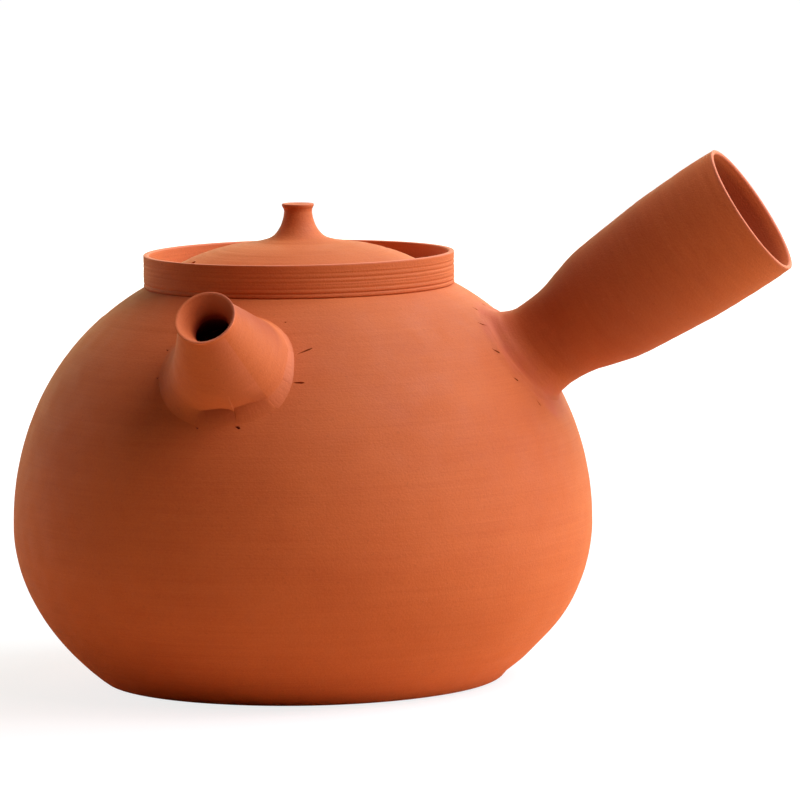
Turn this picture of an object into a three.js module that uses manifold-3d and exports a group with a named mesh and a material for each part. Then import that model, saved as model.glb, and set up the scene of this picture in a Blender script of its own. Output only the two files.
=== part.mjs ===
// Side-handled clay water kettle: a thrown pot with a collar, a trumpet spout, a hollow grip and a lid.
// Millimetres, +Z up. The origin is the centre of the flat base, on the surface that the kettle stands on.
// The spout points to -Y, and the grip stands out near +X.
import * as THREE from "three";
import { mergeVertices } from "three/addons/utils/BufferGeometryUtils.js";
import Module from "manifold-3d";

// Driving dimensions in millimetres. Turns and rises are in degrees. A fullness is the power of a curve.
const pot = {
  diameter: 145, // at the widest ring
  widestHeight: 38.4,
  footDiameter: 100.3,
  seatHeight: 98.5, // of the ledge that carries the collar and the lid
  mouthDiameter: 67,
  wall: 2.6,
  floor: 3.6,
  heelBevel: 0.7, // round the foot
  portDiameter: 15, // the way through the wall into the spout
};
const shoulderFullness = 2.12;
const heelFullness = 1.9;
const collar = { diameter: 77.6, height: 8.0, wall: 1.4 };
const lid = {
  edge: 1.2, // thickness at the rim
  domeRise: 9.8,
  wall: 2.6,
  ventDiameter: 2,
  ventPlace: 28, // from the lid's centre
  flangeDepth: 7.5,
  flangeWall: 2.2,
  flangeBevel: 0.5,
};
const domeFullness = 2.73;
const ventTurn = -144;
const knob = {
  footDiameter: 17,
  waistDiameter: 7,
  topDiameter: 8,
  height: 8.9,
  lip: 1.9, // from the waist to the top
  lipEdge: 0.4,
  dish: 0.4,
};
const knobLipShare = 0.3; // how far the lip has spread half way up it
const spout = {
  turn: -90,
  rise: 35.1, // of the line from the root to the mouth
  endRise: 39.1, // of the way that the mouth faces
  length: 23,
  mouthDiameter: 15,
  neckDiameter: 13.9,
  neckDepth: 1.6, // behind the mouth
  lip: 1.1,
  throatDiameter: 8.8,
  throatDepth: 4.4,
  wall: 2.4,
  skirtDiameter: 34.4,
  skirtHeight: 1.6, // of the cut facets round the root
  skirtBevel: 1.7, // their width
  collarGap: 5.4, // bare shoulder between the skirt and the collar
};
const coneFullness = 1.4;
const grip = {
  turn: 3.5,
  rise: 32.8,
  endRise: 33,
  length: 66.9,
  diameter: 35.1, // at its widest
  neckDiameter: 23.1,
  lip: 1.2,
  wall: 2.2,
  skirtDiameter: 34.4,
  skirtHeight: 0.4,
  flareLength: 8, // how far along the neck the root spreads
  collarGap: 9,
};
const flareFullness = 5;
const seam = 0.3; // between pieces that are joined with slip, and under the lid
const lidPlay = 0.6; // loose fit of the lid in the collar and in the mouth

// How far the grip has swollen from its neck to its widest, at shares of its length from the root.
const swellShares = [
  [0, 0],
  [0.1, 0],
  [0.17, 0.07],
  [0.25, 0.31],
  [0.36, 0.62],
  [0.47, 0.74],
  [0.57, 0.84],
  [0.68, 0.94],
  [0.79, 0.98],
  [0.89, 1],
  [1, 0.96],
];
// Where the grip's root gets its extra rings, as shares of the way from its skirt to the end of its flare.
const flareShares = [0.12, 0.28, 0.48, 0.72];
// How far the knob has spread from its waist to its foot, at shares of the way down.
const knobShares = [
  [0, 0],
  [0.25, 0.045],
  [0.48, 0.14],
  [0.63, 0.25],
  [0.78, 0.38],
  [0.87, 0.5],
  [0.94, 0.65],
  [0.98, 0.83],
  [1, 1],
];
// Corners of the cut skirt round the spout: turn in degrees, and distance as a share of the skirt's radius.
const skirtCornerShares = [
  [-12, 1.02],
  [14.5, 0.97],
  [49.5, 0.94],
  [87, 0.96],
  [125, 0.98],
  [162, 1],
  [190.5, 1.01],
  [218, 1],
  [251, 1],
  [286, 0.98],
  [319, 1.02],
];

// Counts of the flats and steps that stand for round shapes.
const potSides = 60;
const knobSides = 28;
const ventSides = 14;
const gripSides = 36;
const stepsPerFacet = 3;
const curveSteps = 10;
const coneSteps = 7;
const lipSteps = 4;
const walkSteps = 400; // down the shoulder, to find where a tube stands
const halvings = 40; // to find the pot's surface

// Worked out from the driving dimensions.
const degree = Math.PI / 180;
const potRadius = pot.diameter / 2;
const footRadius = pot.footDiameter / 2;
const collarRadius = collar.diameter / 2;
const mouthRadius = pot.mouthDiameter / 2;
const lidRadius = collarRadius - collar.wall - lidPlay;
const flangeRadius = mouthRadius - lidPlay;
const flangeInside = flangeRadius - lid.flangeWall;
const lidTop = lid.edge + lid.domeRise;
const shoulderRise = pot.seatHeight - pot.widestHeight;

const up = new THREE.Vector3(0, 0, 1);
const wasm = await Module();
wasm.setup();

const mix = (from, to, share) => from + (to - from) * share;

// Value at a share, from a table of [share, value] rows.
function tableAt(table, share) {
  const next = Math.max(1, table.findIndex((row) => row[0] >= share));
  const [before, after] = [table[next - 1], table[next]];
  return mix(before[1], after[1], (share - before[0]) / (after[0] - before[0]));
}

// How far a rounded curve reaches when it starts at the widest ring and has a given radius at a given rise.
function reachOf(rise, radius, fullness) {
  return rise / (1 - (radius / potRadius) ** fullness) ** (1 / fullness);
}
const shoulder = {
  side: 1,
  fullness: shoulderFullness,
  reach: reachOf(shoulderRise, collarRadius, shoulderFullness),
  endRadius: collarRadius,
};
const heel = {
  side: -1,
  fullness: heelFullness,
  reach: reachOf(pot.widestHeight, footRadius, heelFullness),
  endRadius: footRadius,
};

// The pot's outer radius at a height.
function potRadiusAt(height) {
  const { fullness, reach } = height > pot.widestHeight ? shoulder : heel;
  const share = Math.min(1, Math.abs(height - pot.widestHeight) / reach);
  return potRadius * (1 - share ** fullness) ** (1 / fullness);
}

// One half of the pot's curve from the widest ring to its end, moved inwards square to itself by an inset.
function halfCurve({ side, fullness, reach, endRadius }, inset) {
  const last = Math.acos((endRadius / potRadius) ** (fullness / 2));
  return Array.from({ length: curveSteps + 1 }, (_, i) => {
    const angle = (last * i) / curveSteps;
    const across = Math.cos(angle) ** (2 / fullness);
    const along = Math.sin(angle) ** (2 / fullness);
    const normal = new THREE.Vector2(across ** (fullness - 1) / potRadius, along ** (fullness - 1) / reach);
    normal.setLength(inset);
    return [potRadius * across - normal.x, pot.widestHeight + side * (reach * along - normal.y)];
  });
}

// The pot's curve from its heel up to its shoulder.
function potCurve(inset) {
  return [...halfCurve(heel, inset).reverse(), ...halfCurve(shoulder, inset).slice(1)];
}

// A body of revolution about +Z, from a profile of [radius, height] rows that goes round counter-clockwise.
function turned(profile, sides) {
  const points = profile.map(([radius, height]) => new THREE.Vector2(radius, height));
  return new THREE.LatheGeometry(points, sides).rotateX(Math.PI / 2);
}

// Rows of a round lip from its outer radius to its inner one, under a top height.
function lipArc(outer, inner, top) {
  const half = (outer - inner) / 2;
  return Array.from({ length: lipSteps + 1 }, (_, i) => {
    const angle = (Math.PI * i) / lipSteps;
    return [inner + half + half * Math.cos(angle), top - half + half * Math.sin(angle)];
  });
}

function solidOf(geometry) {
  const bare = geometry.clone();
  bare.deleteAttribute("normal");
  bare.deleteAttribute("uv");
  const merged = mergeVertices(bare);
  const vertProperties = merged.attributes.position.array;
  const triVerts = new Uint32Array(merged.index.array);
  return new wasm.Manifold(new wasm.Mesh({ numProp: 3, vertProperties, triVerts }));
}

function geometryOf(solid) {
  const mesh = solid.getMesh();
  const geometry = new THREE.BufferGeometry();
  geometry.setAttribute("position", new THREE.BufferAttribute(mesh.vertProperties, 3));
  geometry.setIndex(new THREE.BufferAttribute(mesh.triVerts, 1));
  return geometry;
}

// A closed skin over rings of points, each with as many points, the last ring joined to the first.
function ringSkin(rings) {
  const count = rings[0].length;
  const index = [];
  for (let i = 0; i < rings.length; i++) {
    const here = i * count;
    const next = ((i + 1) % rings.length) * count;
    for (let j = 0; j < count; j++) {
      const k = (j + 1) % count;
      index.push(here + j, here + k, next + k, here + j, next + k, next + j);
    }
  }
  const geometry = new THREE.BufferGeometry().setFromPoints(rings.flat());
  geometry.setIndex(index);
  return geometry;
}

// The place on the shoulder at a distance from the collar, walked down along the pot's curve.
function shoulderPlace(distance) {
  const stride = shoulderRise / walkSteps;
  let radius = collarRadius;
  let height = pot.seatHeight;
  let walked = 0;
  while (walked < distance && height > pot.widestHeight) {
    height -= stride;
    const wider = potRadiusAt(height);
    walked += Math.hypot(wider - radius, stride);
    radius = wider;
  }
  return { radius, height };
}

// Where a tube stands on the shoulder, and its sideways direction.
// Each rise has its way out and its upper side.
function rootOf(tube) {
  const place = shoulderPlace(tube.collarGap + tube.skirtDiameter / 2);
  const outward = new THREE.Vector3(Math.cos(tube.turn * degree), Math.sin(tube.turn * degree), 0);
  const blend = (out, upward) => outward.clone().multiplyScalar(out).addScaledVector(up, upward);
  return {
    centre: blend(place.radius, place.height),
    side: new THREE.Vector3().crossVectors(up, outward),
    way: (rise) => blend(Math.cos(rise * degree), Math.sin(rise * degree)),
    over: (rise) => blend(-Math.sin(rise * degree), Math.cos(rise * degree)),
  };
}

// How far out along a tube's way the pot's surface lies, at a radius and an angle round the root.
function surfaceDepth(tube, root, radius, angle) {
  const from = root.centre.clone();
  from.addScaledVector(root.side, radius * Math.cos(angle));
  from.addScaledVector(root.over(tube.rise), radius * Math.sin(angle));
  let inside = -potRadius / 2;
  let outside = potRadius / 2;
  for (let i = 0; i < halvings; i++) {
    const middle = (inside + outside) / 2;
    const p = from.clone().addScaledVector(root.way(tube.rise), middle);
    if (Math.hypot(p.x, p.y) < potRadiusAt(p.z)) inside = middle;
    else outside = middle;
  }
  return outside;
}

// A ring round a tube at a height above its root.
// With a hug of 1 it follows the pot, and with 0 it is flat.
function tubeRing(tube, root, angles, radiusAt, height, hug) {
  const over = root.over(mix(tube.rise, tube.endRise, Math.max(0, height / tube.length)));
  return angles.map((angle) => {
    const radius = radiusAt(angle);
    const depth = hug > 0 ? hug * surfaceDepth(tube, root, radius, angle) : 0;
    const point = root.centre.clone().addScaledVector(root.way(tube.rise), height + depth);
    point.addScaledVector(root.side, radius * Math.cos(angle));
    return point.addScaledVector(over, radius * Math.sin(angle));
  });
}

// A hollow tube on the shoulder, from rows of [radius or radius by angle, height, hug] round its section.
function tubeSkin(tube, angles, rows) {
  const root = rootOf(tube);
  return ringSkin(
    rows.map(([radius, height, hug]) => {
      const radiusAt = typeof radius === "function" ? radius : () => radius;
      return tubeRing(tube, root, angles, radiusAt, height, hug);
    }),
  );
}

// The thrown pot: flat foot, round belly, and a ledge with the mouth in it, pierced for the spout.
function makePot() {
  const underLedge = pot.seatHeight - pot.wall;
  const outer = potCurve(0).filter(([, height]) => height > pot.heelBevel);
  const inner = potCurve(pot.wall).filter(([r, height]) => r > mouthRadius && height > pot.floor * 2);
  const profile = [
    [0, 0],
    [potRadiusAt(pot.heelBevel) - pot.heelBevel, 0],
    [potRadiusAt(pot.heelBevel), pot.heelBevel],
    ...outer,
    [mouthRadius, pot.seatHeight],
    [mouthRadius, underLedge],
    ...inner.reverse(),
    [footRadius - pot.floor, pot.floor],
    [0, pot.floor],
  ];
  const root = rootOf(spout);
  const portRadius = pot.portDiameter / 2;
  const port = new THREE.CylinderGeometry(portRadius, portRadius, spout.skirtDiameter, knobSides);
  const lean = new THREE.Quaternion().setFromUnitVectors(new THREE.Vector3(0, 1, 0), root.way(spout.rise));
  port.applyQuaternion(lean);
  port.translate(...root.centre.toArray());
  return geometryOf(solidOf(turned(profile, potSides)).subtract(solidOf(port)));
}

// The collar: an upright ring with a thin round lip. Its own height starts at its foot.
function makeCollar() {
  const inside = collarRadius - collar.wall;
  const lip = lipArc(collarRadius, inside, collar.height);
  return turned([[inside, 0], [collarRadius, 0], ...lip, [inside, 0]], potSides);
}

// The lid's disc: a low dome on a flat rim, hollow beneath, with a steam vent.
// Its own height starts at the rim's underside.
function domeAt(radius) {
  return lidTop - lid.domeRise * (radius / lidRadius) ** domeFullness;
}
function makeLidDisc() {
  const share = (i) => Math.sin((i / curveSteps) * (Math.PI / 2));
  const top = Array.from({ length: curveSteps + 1 }, (_, i) => lidRadius * share(i));
  const under = Array.from({ length: curveSteps / 2 + 1 }, (_, i) => flangeInside * share(2 * i));
  const profile = [
    ...under.map((radius) => [radius, domeAt(radius) - lid.wall]),
    [flangeInside, 0],
    [lidRadius, 0],
    ...top.reverse().map((radius) => [radius, domeAt(radius)]),
  ];
  const ventRadius = lid.ventDiameter / 2;
  const turn = ventTurn * degree;
  const vent = new THREE.CylinderGeometry(ventRadius, ventRadius, lidTop * 2, ventSides);
  vent.rotateX(Math.PI / 2);
  vent.translate(lid.ventPlace * Math.cos(turn), lid.ventPlace * Math.sin(turn), lidTop);
  return geometryOf(solidOf(turned(profile, potSides)).subtract(solidOf(vent)));
}

// The ring under the disc that keeps the lid centred in the mouth. Its own height starts at its top face.
function makeLidFlange() {
  const low = -lid.flangeDepth;
  return turned(
    [
      [flangeInside, low],
      [flangeRadius - lid.flangeBevel, low],
      [flangeRadius, low + lid.flangeBevel],
      [flangeRadius, 0],
      [flangeInside, 0],
      [flangeInside, low],
    ],
    potSides,
  );
}

// The knob: a slim waisted spool with a wide foot and a dish on top. Its own height starts at its foot.
function makeKnob() {
  const waist = knob.waistDiameter / 2;
  const foot = knob.footDiameter / 2;
  const top = knob.topDiameter / 2;
  const waistHeight = knob.height - knob.lip;
  const flare = knobShares.map(([down, spread]) => [mix(waist, foot, spread), waistHeight * (1 - down)]);
  const profile = [
    [0, 0],
    ...flare.reverse(),
    [mix(waist, top, knobLipShare), waistHeight + knob.lip / 2],
    [top, knob.height - knob.lipEdge],
    [top - knob.lipEdge, knob.height],
    [waist, knob.height],
    [0, knob.height - knob.dish],
  ];
  return turned(profile, knobSides);
}

// Radius of the cut skirt at an angle round the spout: straight edges between its corners.
const skirtCorners = skirtCornerShares.map(([turn, share]) => {
  return [turn * degree, (share * spout.skirtDiameter) / 2];
});
function skirtRadiusAt(angle) {
  const full = 2 * Math.PI;
  for (let i = 0; i < skirtCorners.length; i++) {
    const [from, near] = skirtCorners[i];
    const [to, far] = skirtCorners[(i + 1) % skirtCorners.length];
    const span = (to - from + full) % full;
    const along = (angle - from + full) % full;
    if (along <= span) {
      return (near * far * Math.sin(span)) / (near * Math.sin(along) + far * Math.sin(span - along));
    }
  }
  return spout.skirtDiameter / 2;
}

// The spout: a trumpet-mouthed cone whose foot is cut off in straight facets where it meets the pot.
function makeSpout() {
  const round = spout.skirtDiameter / 2;
  const mouth = spout.mouthDiameter / 2;
  const neck = spout.neckDiameter / 2;
  const throat = spout.throatDiameter / 2;
  const neckHeight = spout.length - spout.neckDepth;
  const throatHeight = spout.length - spout.throatDepth;
  const inside = round - spout.skirtBevel - spout.wall;
  const angles = skirtCorners.flatMap(([from], i) => {
    const to = skirtCorners[(i + 1) % skirtCorners.length][0];
    const span = (to - from + 2 * Math.PI) % (2 * Math.PI);
    return Array.from({ length: stepsPerFacet }, (_, j) => from + (span * j) / stepsPerFacet);
  });
  const cone = Array.from({ length: coneSteps }, (_, i) => {
    const rise = i / coneSteps;
    const footAt = (angle) => mix(round, skirtRadiusAt(angle), (1 - rise) ** 4) - spout.skirtBevel;
    const radiusAt = (angle) => mix(neck, footAt(angle), (1 - rise) ** coneFullness);
    return [radiusAt, mix(spout.skirtHeight, neckHeight, rise), (1 - rise) ** 2];
  });
  const bore = Array.from({ length: coneSteps }, (_, i) => {
    const fall = i / coneSteps;
    return [mix(throat, inside, fall ** coneFullness), mix(throatHeight, seam, fall), fall ** 2];
  });
  const lip = lipArc(mouth, mouth - spout.lip, spout.length);
  return tubeSkin(spout, angles, [
    [skirtRadiusAt, seam, 1],
    ...cone,
    [neck, neckHeight, 0],
    ...lip.map(([radius, height]) => [radius, height, 0]),
    ...bore,
    [inside, seam, 1],
    [(inside + round) / 2, seam, 1],
  ]);
}

// The grip: a hollow thrown tube, open at its end. It narrows to a neck and spreads out onto the pot.
function makeGrip() {
  const neck = grip.neckDiameter / 2;
  const widest = grip.diameter / 2;
  const skirt = grip.skirtDiameter / 2;
  const swell = (height) => mix(neck, widest, tableAt(swellShares, Math.min(1, height / grip.length)));
  const hug = (height) => Math.max(0, 1 - (height / (2 * grip.flareLength)) ** 2);
  const end = swell(grip.length);
  const lipHalf = grip.lip / 2;
  const flare = flareShares.map((share) => {
    const height = mix(grip.skirtHeight, grip.flareLength, share);
    return [mix(neck, skirt, (1 - share) ** flareFullness), height, hug(height)];
  });
  const heights = swellShares.map(([share]) => share * grip.length);
  const body = heights.filter((height) => height > grip.flareLength && height < grip.length - lipHalf);
  const bore = body.slice().reverse();
  const angles = Array.from({ length: gripSides }, (_, i) => (2 * Math.PI * i) / gripSides);
  return tubeSkin(grip, angles, [
    [skirt, seam, 1],
    [skirt, grip.skirtHeight, 1],
    ...flare,
    [neck, grip.flareLength, hug(grip.flareLength)],
    ...body.map((height) => [swell(height), height, hug(height)]),
    ...lipArc(end, end - grip.lip, grip.length).map(([radius, height]) => [radius, height, 0]),
    ...bore.map((height) => [swell(height) - grip.wall, height, hug(height)]),
    [neck - grip.wall, grip.flareLength, hug(grip.flareLength)],
    [neck - grip.wall, seam, 1],
    [(neck + skirt) / 2, seam, 1],
  ]);
}

// Unglazed red clay: the same body everywhere, a little paler on the pieces that catch the light.
function clay(color) {
  return new THREE.MeshStandardMaterial({ color, roughness: 0.86, metalness: 0 });
}

function piece(name, geometry, color, height = 0) {
  const mesh = new THREE.Mesh(geometry, clay(color));
  mesh.name = name;
  mesh.position.z = height;
  return mesh;
}

const lidGroup = new THREE.Group();
lidGroup.position.z = pot.seatHeight + seam;
lidGroup.add(
  piece("lid_disc", makeLidDisc(), 0xb9603c),
  piece("lid_flange", makeLidFlange(), 0xb05a38, -seam),
  piece("lid_knob", makeKnob(), 0xb9603c, lidTop + seam),
);

const kettle = new THREE.Group();
kettle.add(
  piece("pot_body", makePot(), 0xb35a34),
  piece("collar", makeCollar(), 0xa85233, pot.seatHeight + seam),
  piece("spout", makeSpout(), 0xb65d39),
  piece("grip", makeGrip(), 0xad5532),
  lidGroup,
);

export default kettle;
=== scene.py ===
import math

import bpy
import numpy as np
from mathutils import Matrix, Vector


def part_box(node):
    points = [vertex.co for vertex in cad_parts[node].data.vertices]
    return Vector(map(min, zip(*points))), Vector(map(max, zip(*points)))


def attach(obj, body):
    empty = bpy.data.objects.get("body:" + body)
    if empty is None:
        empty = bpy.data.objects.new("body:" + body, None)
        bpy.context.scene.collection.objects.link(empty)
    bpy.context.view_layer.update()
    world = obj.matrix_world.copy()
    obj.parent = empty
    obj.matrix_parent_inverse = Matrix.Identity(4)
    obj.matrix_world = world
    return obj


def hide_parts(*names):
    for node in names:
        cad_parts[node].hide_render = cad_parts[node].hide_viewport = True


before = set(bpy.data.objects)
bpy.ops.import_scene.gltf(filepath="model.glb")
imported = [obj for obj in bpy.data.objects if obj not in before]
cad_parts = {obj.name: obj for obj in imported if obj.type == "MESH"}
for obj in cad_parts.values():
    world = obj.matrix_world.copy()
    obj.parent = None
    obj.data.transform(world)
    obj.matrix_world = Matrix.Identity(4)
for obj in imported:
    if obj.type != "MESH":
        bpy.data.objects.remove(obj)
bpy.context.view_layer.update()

# Lengths are in millimetres here, and a mesh is made in metres. Turns and rises are in degrees.
MM = 0.001
DEGREE = math.pi / 180
SAME_PLACE = 1e-6  # points nearer than this are one
TINY = 1e-12


def node_box(node):
    low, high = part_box(node)
    return np.array(low) / MM, np.array(high) / MM


# Sizes that the frame gives.
POT_LOW, POT_HIGH = node_box("pot_body")
COLLAR_LOW, COLLAR_HIGH = node_box("collar")
DISC_LOW, DISC_HIGH = node_box("lid_disc")
FLANGE_LOW, FLANGE_HIGH = node_box("lid_flange")
KNOB_HIGH = node_box("lid_knob")[1]
POT_RADIUS = (POT_HIGH[0] - POT_LOW[0]) / 2
SEAT = POT_HIGH[2]
COLLAR_RADIUS = (COLLAR_HIGH[0] - COLLAR_LOW[0]) / 2
DISC_RADIUS = (DISC_HIGH[0] - DISC_LOW[0]) / 2
FLANGE_RADIUS = (FLANGE_HIGH[0] - FLANGE_LOW[0]) / 2
COLLAR_HEIGHT = COLLAR_HIGH[2] - SEAT
LID_HEIGHT = KNOB_HIGH[2] - DISC_LOW[2]

# The pot's own sizes. A fullness is the power of its curve.
WIDEST_HEIGHT = 38.4
FOOT_RADIUS = 50.15
SHOULDER_FULLNESS = 2.12
HEEL_FULLNESS = 1.9
MOUTH_RADIUS = 33.5
MOUTH_ROUND = 0.8
WALL = 2.6
FLOOR = 3.6
BOWL_INSET = 4
BOWL_ROUND = 7
HEEL_ROUND = 1.1
BASE_RECESS = 0.35
BASE_RING = 4.5
BASE_SLOPE = 2
BASE_ROUND = 1
PORT_RADIUS = 7.5
PORT_REACH = 9
SUNK = 0.35  # how far a joined piece reaches into the pot
SKIN = 0.5  # what is nearer to a surface than this belongs to it
POLE = 0.4  # where a section stops short of the axis, to end there in one point

# The press of the potter's hand in the heel, under the grip. A start or an end is soft, between two places.
PRESS_TURN = 18
PRESS_SPREAD = 24
PRESS_DEPTH = 0.85
PRESS_START = (0.2, 2)
PRESS_END = (7, 17)
FOOT_PRESS_DEPTH = 0.6
FOOT_PRESS_END = (1, 6)

COLLAR_WALL = 1.4
COLLAR_INNER_ROUND = 0.45
COLLAR_OUTER_ROUND = 0.22
COLLAR_WORN = (COLLAR_HEIGHT - 0.4, COLLAR_HEIGHT - 0.05)
WORN_GROOVES_HEIGHT = 2  # the grooves over this height are shallower away from the grip
WORN_GROOVES_SHARE = 0.3

DISC_EDGE = 1.2
DISC_RISE = 9.8
DISC_WALL = 2.6
DISC_ROUNDS = (0.3, 0.4)
DOME_FULLNESS = 2.73
KNOB_REACH = 9
KNOB_BLEND = 3  # how far the foot of the knob runs into the dome
KNOB_HOLLOW = 0.32
KNOB_WORN = (LID_HEIGHT - 0.5, LID_HEIGHT - 0.1)
KNOB_WORN_SHARE = 0.8
VENT_RADIUS = 1.0
VENT_PLACE = 28
VENT_TURN = -144
VENT_REACH = 20
FLANGE_WALL = 2.2
FLANGE_ROUND = 0.7

SPOUT_TURN = -90
SPOUT_RISE = 35.1
SPOUT_END_RISE = 39.1
SPOUT_LENGTH = 23
SPOUT_MOUTH = 7.5
SPOUT_NECK = 6.95
NECK_HEIGHT = SPOUT_LENGTH - 1.6
SPOUT_LIP = 0.6
THROAT_RADIUS = 4.4
THROAT_DEPTH = 5.2
THROAT_FLARE = 1.1
THROAT_FLARE_DEPTH = 2.4
BORE_RADIUS = 4.25  # behind the throat
BORE_DEPTH = 7.4
SKIRT_RADIUS = 17.2
SPOUT_WALL = 2.4
SPOUT_GAP = 5.4  # bare shoulder between the skirt and the collar
HUG_HEIGHT = 2.5  # up to here the spout's rings follow the pot
CONE_FOOT = 15.0
CONE_FULLNESS = 1.05
CONE_FLARE = 3.3
CONE_FLARE_HEIGHT = 0.35
SMEARED_FLARE = 2.7  # on the side away from the cuts
SMEARED_FLARE_HEIGHT = 1.5
SMEARED_START = (95, 150)
SMEARED_END = (205, 248)
CUT_RISE = 5  # how far up the cone a facet's cut reaches
CUT_FULLNESS = 1.7
FOOT_SUNK = 0.12  # how deep the facets' outer edge lies in the pot
# Painted shade on the upper right of the spout's cone, and painted light on its lower right: middle turn and
# spread.
CONE_SHADE = (45, 30)
CONE_SHADE_SHARE = 0.55
CONE_LIGHT = (312, 34)
CONE_LIGHT_SHARE = 0.35
# How much paler the cut faces and the right of the throat are (paler cut clay and painted light), and how
# deep the painted shade down the throat is.
PALE_SHARE = 0.8
THROAT_SHADE_SHARE = 0.8
# A line round the left of the cone: middle and spread of its turns and of its height.
LINE_TURNS = (0.58, 0.12)
LINE_HEIGHT = (8.7, 0.2)
LINE_DEPTH = 0.09

GRIP_TURN = 3.5
GRIP_RISE = 32.8
GRIP_END_RISE = 33
GRIP_LENGTH = 66.9
GRIP_NECK = 11.4
GRIP_WIDEST = 17.55
GRIP_LIP = 1.05
GRIP_LIP_DEPTH = 1.4
GRIP_LIP_ROUND = 0.55
GRIP_LIP_SLOPE = 0.2  # how much thicker the wall is below the lip
GRIP_WALL = 2.2
GRIP_WALL_DEPTH = 12  # where the wall has its full thickness
SMEAR_RADIUS = 17.4
SMEAR_DRAWN_IN = 3.8  # on the underside
SMEAR_SLOPE = 0.16
FLARE_LENGTH = 5.2
FLARE_FULLNESS = 5.5
DAB_RADIUS = 19  # where the potter's dabs round the root end on the pot
DAB_START = 1.5
DAB_END = 2.5
DAB_FAINT_SHARE = 0.8  # how much fainter the dabs are on the underside
DAB_SPREAD_SHARE = 0.5  # of a dab's height, outwards
GRIP_GAP = 9
GRIP_SKIRT = 17.2
ROOT_REACH = 12  # how deep behind the root the grip's side of the pot reaches
SLIP_EDGE = (16.5, 18.7)  # where the slip round the grip's root ends on the pot
SLIP_WAVER = 0.7
SLIP_LOBES = 7
SLIP_END = (0.5, 7)  # where it ends on the grip
GRIP_WORN = (GRIP_LENGTH - 0.8, GRIP_LENGTH - 0.2)
# Painted shade on the grip: darker on its neck and inside its end.
NECK_SHADE = 0.42
NECK_SHADE_START = (1, 10)
NECK_SHADE_END = (24, 68)
HOLLOW_SHADE = 0.5
HOLLOW_SHADE_START = (0.5, 4)

# How many points go round each piece.
POT_SIDES = 360
COLLAR_SIDES = 360
LID_SIDES = 320
FLANGE_SIDES = 240
GRIP_SIDES = 320
STEPS_PER_FACET = 36

# What the wheel and the hand left: random seed, marks round the piece, spacing along it and height.
POT_MARKS = [(3, 9, 1.9, 0.014), (5, 6, 4.2, 0.02), (8, 4, 15, 0.07)]
COLLAR_MARKS = [(12, 7, 0.62, 0.018), (14, 5, 1.7, 0.02)]
LID_MARKS = [(21, 7, 1.5, 0.05), (22, 5, 0.8, 0.03)]
FLANGE_MARKS = [(31, 6, 1.4, 0.04)]
CHATTER_MARKS = [(41, 240, 1.0, 0.035)]
LIP_MARKS = [(43, 5, 1.0, 0.12)]
SPOUT_MARKS = [(47, 8, 0.9, 0.035)]
GRIP_MARKS = [(51, 8, 1.3, 0.03), (52, 5, 9, 0.07)]
DAB_MARKS = [(53, 13, 2.3, 0.32), (54, 6, 1.6, 0.42)]
# How far a piece is off round, and how its oval is turned.
POT_OVAL = (0.12, 0.6)
COLLAR_OVAL = (0.05, 1)

# How far the grip has swollen from its neck to its widest, at shares of its length from the root.
SWELL_SHARES = [
    (0, 0), (0.1, 0.005), (0.17, 0.08), (0.25, 0.32), (0.36, 0.62), (0.47, 0.74),
    (0.57, 0.84), (0.68, 0.94), (0.79, 0.98), (0.89, 1), (1, 0.96),
]
# The knob's outline over the lid's top: radius and height.
KNOB_OUTLINE = [
    (12.5, -0.52), (10.4, -0.2), (8.7, 0.22), (7.4, 0.62), (6.45, 1.12), (5.65, 1.82), (4.95, 2.75),
    (4.3, 3.9), (3.88, 5.1), (3.62, 6.2), (3.5, 7.2), (3.6, 7.9), (3.86, 8.4), (4.0, 8.78),
]
# The shaved facets round the spout's foot: the turns where each starts and ends, its crease's height at the
# start, in the middle and at the end, the share of the way where the crease is highest, how softly the face
# runs out on the pot, and how pale it is: paler cut clay, with painted light on the faces of the lit right
# side.
FACETS = [
    (-40.2, -15.5, 1.05, 1.3, 1.0, 0.5, 1.5, 0.25),
    (-15.5, 18.5, 1.2, 1.8, 1.3, 0.5, 1.4, 0.5),
    (18.5, 52, 1.4, 1.7, 1.5, 0.5, 1.9, 0.3),
    (52, 88, 1.2, 1.4, 1.2, 0.5, 1.9, 0),
    (88, 126, 0.9, 1.1, 0.9, 0.5, 1.9, 0),
    (126, 164, 0.5, 0.8, 0.7, 0.5, 2.1, 0),
    (164, 189.6, 0.4, 0.6, 0.4, 0.5, 2.1, 0),
    (189.6, 217, 0.4, 0.6, 0.4, 0.5, 2.1, 0),
    (217, 248.5, 0.4, 1.0, 1.0, 0.7, 1.9, 0),
    (248.5, 284.5, 1.0, 1.6, 0.45, 0.63, 1.25, 0),
    (284.5, 319.8, 0.85, 1.55, 1.05, 0.25, 1.25, 0),
]
# How far the facets cut into the cone: turn and depth.
CUTS = [
    (-41, 0), (230, 0), (249, 0.55), (261, 1.1), (271, 1.45), (282, 1.35), (297, 1.28), (303, 1.19),
    (309, 0.88), (315, 0.47), (320, 0),
]
# Painted shade on the cut faces of the underside: soft start, soft end and share.
CUT_SHADES = [((244, 256), (283.5, 285.5), 0.45), ((283.5, 285.5), (316, 320), 0.27)]
# Where the facets run out on the pot: turn and radius.
FACET_FOOT = [
    (-43, 17.4), (-38, 17.6), (-26, 17.05), (-16, 16.45), (-9, 16.15), (-1, 15.7), (7, 15.45), (16, 15.35),
    (52, 15.6), (88, 16.2), (126, 17.2), (164, 18.05), (190, 18.35), (217, 18.15), (248, 17.45), (282, 16.6),
    (300, 17.0), (317, 17.4),
]
# The grooves round the collar: height, width and depth.
COLLAR_GROOVES = [
    (0.05, 0.2, 0.45), (1.2, 0.2, 0.28), (2.35, 0.3, 0.14), (3.25, 0.2, 0.05), (3.9, 0.2, 0.1),
    (4.95, 0.28, 0.16), (6.15, 0.26, 0.11), (7.3, 0.3, 0.06),
]
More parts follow.
